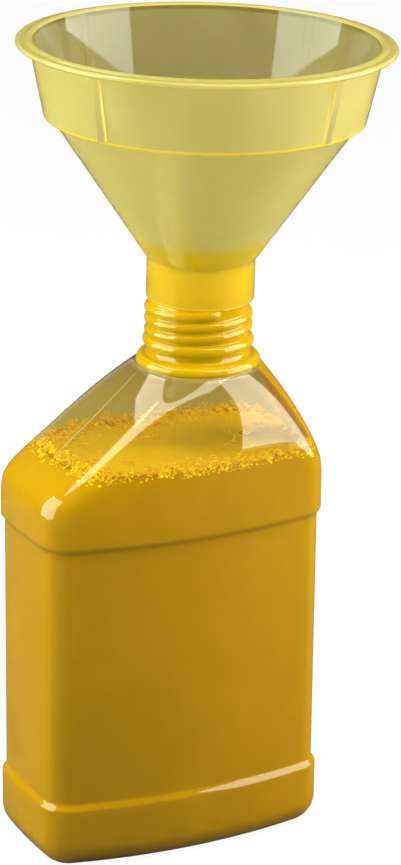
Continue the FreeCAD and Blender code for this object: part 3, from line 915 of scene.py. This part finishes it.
def background_share(tree):
    """1 for rays straight from the camera or through clear walls, a little for mirrored ones."""
    path = add(tree, "ShaderNodeLightPath")
    first = add(tree, "ShaderNodeMath", "MAXIMUM")
    both = add(tree, "ShaderNodeMath", "MAXIMUM")
    direct = add(tree, "ShaderNodeMath", "LESS_THAN")
    seen = add(tree, "ShaderNodeMath", "MULTIPLY")
    gloss = add(tree, "ShaderNodeMath", "MULTIPLY")
    gloss.inputs[1].default_value = GLOSS_SHARE
    tree.links.new(path.outputs["Is Glossy Ray"], gloss.inputs[0])
    tree.links.new(gloss.outputs[0], first.inputs[0])
    tree.links.new(path.outputs["Is Transmission Ray"], first.inputs[1])
    tree.links.new(path.outputs["Is Camera Ray"], both.inputs[0])
    tree.links.new(first.outputs[0], both.inputs[1])
    tree.links.new(path.outputs["Diffuse Depth"], direct.inputs[0])
    direct.inputs[1].default_value = 0.5
    tree.links.new(both.outputs[0], seen.inputs[0])
    tree.links.new(direct.outputs[0], seen.inputs[1])
    return seen.outputs[0]


def floor():
    half = FLOOR_HALF_WIDTH / MM
    points = [(-half, -half, 0), (half, -half, 0), (half, half, 0), (-half, half, 0)]
    piece = finished_mesh("floor", points, [(0, 1, 2, 3)], smooth=False)
    material, tree, shader = new_material("pale_floor")
    shader.inputs["Base Color"].default_value = (FLOOR_GREY, FLOOR_GREY, FLOOR_GREY, 1)
    shader.inputs["Roughness"].default_value = 0.8
    shader.inputs["Specular IOR Level"].default_value = 0.0
    place = add(tree, "ShaderNodeTexCoord")
    far = add(tree, "ShaderNodeVectorMath", "LENGTH")
    tree.links.new(place.outputs["Object"], far.inputs[0])
    fill = mapped(tree, far.outputs["Value"], *FLOOR_GLOW_REACH, FLOOR_GLOW, FAR_FLOOR_GLOW)
    glow = add(tree, "ShaderNodeMath", "MULTIPLY")
    tree.links.new(background_share(tree), glow.inputs[0])
    tree.links.new(fill, glow.inputs[1])
    shader.inputs["Emission Color"].default_value = (1, 1, 1, 1)
    tree.links.new(glow.outputs[0], shader.inputs["Emission Strength"])
    piece.data.materials.append(material)


def world():
    scene = bpy.context.scene
    scene.world = bpy.data.worlds.new("studio")
    scene.world.use_nodes = True
    tree = scene.world.node_tree
    plain = tree.nodes["Background"]
    plain.inputs["Color"].default_value = (1, 1, 1, 1)
    plain.inputs["Strength"].default_value = AMBIENT
    white = add(tree, "ShaderNodeBackground")
    white.inputs["Color"].default_value = (1, 1, 1, 1)
    white.inputs["Strength"].default_value = 1.0
    mix = add(tree, "ShaderNodeMixShader")
    tree.links.new(background_share(tree), mix.inputs["Fac"])
    tree.links.new(plain.outputs["Background"], mix.inputs[1])
    tree.links.new(white.outputs["Background"], mix.inputs[2])
    tree.links.new(mix.outputs["Shader"], tree.nodes["World Output"].inputs["Surface"])


def stand(piece, place, across, upward, back):
    """Puts a piece in the scene, at a place and turned to three directions."""
    turn = Matrix((across, upward, back)).transposed().to_4x4()
    piece.matrix_world = Matrix.Translation(place) @ turn
    bpy.context.scene.collection.objects.link(piece)


def softbox(name, place, target, along, size, radiance, mirrored, colour):
    """A soft rectangular lamp that faces a target, with its width along a direction."""
    place, target, along = Vector(place), Vector(target), Vector(along)
    lamp = bpy.data.lights.new(name, "AREA")
    lamp.color = colour
    lamp.shape = "RECTANGLE"
    lamp.size, lamp.size_y = size
    lamp.energy = radiance * math.pi * size[0] * size[1]
    piece = bpy.data.objects.new(name, lamp)
    away = (place - target).normalized()
    across = (along - along.dot(away) * away).normalized()
    piece.visible_camera = False
    piece.visible_glossy = mirrored
    piece.visible_transmission = mirrored
    stand(piece, place, across, away.cross(across), away)


def camera():
    turn, pitch, roll = CAMERA_TURN, CAMERA_PITCH, CAMERA_ROLL
    back = Vector((math.sin(turn) * math.cos(pitch), -math.cos(turn) * math.cos(pitch), math.sin(pitch)))
    right = Vector((math.cos(turn), math.sin(turn), 0))
    up = back.cross(right)
    across = math.cos(roll) * right + math.sin(roll) * up
    upward = -math.sin(roll) * right + math.cos(roll) * up
    data = bpy.data.cameras.new("camera")
    data.lens = CAMERA_LENS
    data.sensor_width = CAMERA_SENSOR
    piece = bpy.data.objects.new("camera", data)
    place = right * CAMERA_SIDE + Vector((0, 0, CAMERA_HEIGHT)) + back * CAMERA_DISTANCE
    stand(piece, place, across, upward, back)
    bpy.context.scene.camera = piece


camera()
world()
floor()
for lamp_values in LAMPS:
    softbox(*lamp_values)

held = oil_material("oil_behind_plastic", 0.0, 0.1, OIL_HELD)
surface = oil_material("oil_surface", 0.03, 0.3, OIL_SURFACE)
film = oil_material("oil_film", 0.0, 0.1, OIL_FILM, 0.002)
plastic = [clear_plastic("clear_blown_plastic", 1.0), clear_plastic("parting_line", 0.4)]
for make, node, slot, materials in ((bottle_shell, "bottle", "clear_plastic", plastic),
                                    (oil_fill, "oil", "yellow_oil", [held, surface]),
                                    (froth_bubbles, "froth", "oil_froth", [froth_material()]),
                                    (neck_film, "oil_film", "yellow_oil", [film]),
                                    (shoulder_film, None, "yellow_oil", [film]),
                                    (funnel_shell, "funnel", "funnel_plastic", funnel_plastic())):
    piece = make()
    for material in materials:
        piece.data.materials.append(material)
    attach(piece, "root")
    if node:
        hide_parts(node)

bpy.context.scene.view_settings.view_transform = "Standard"
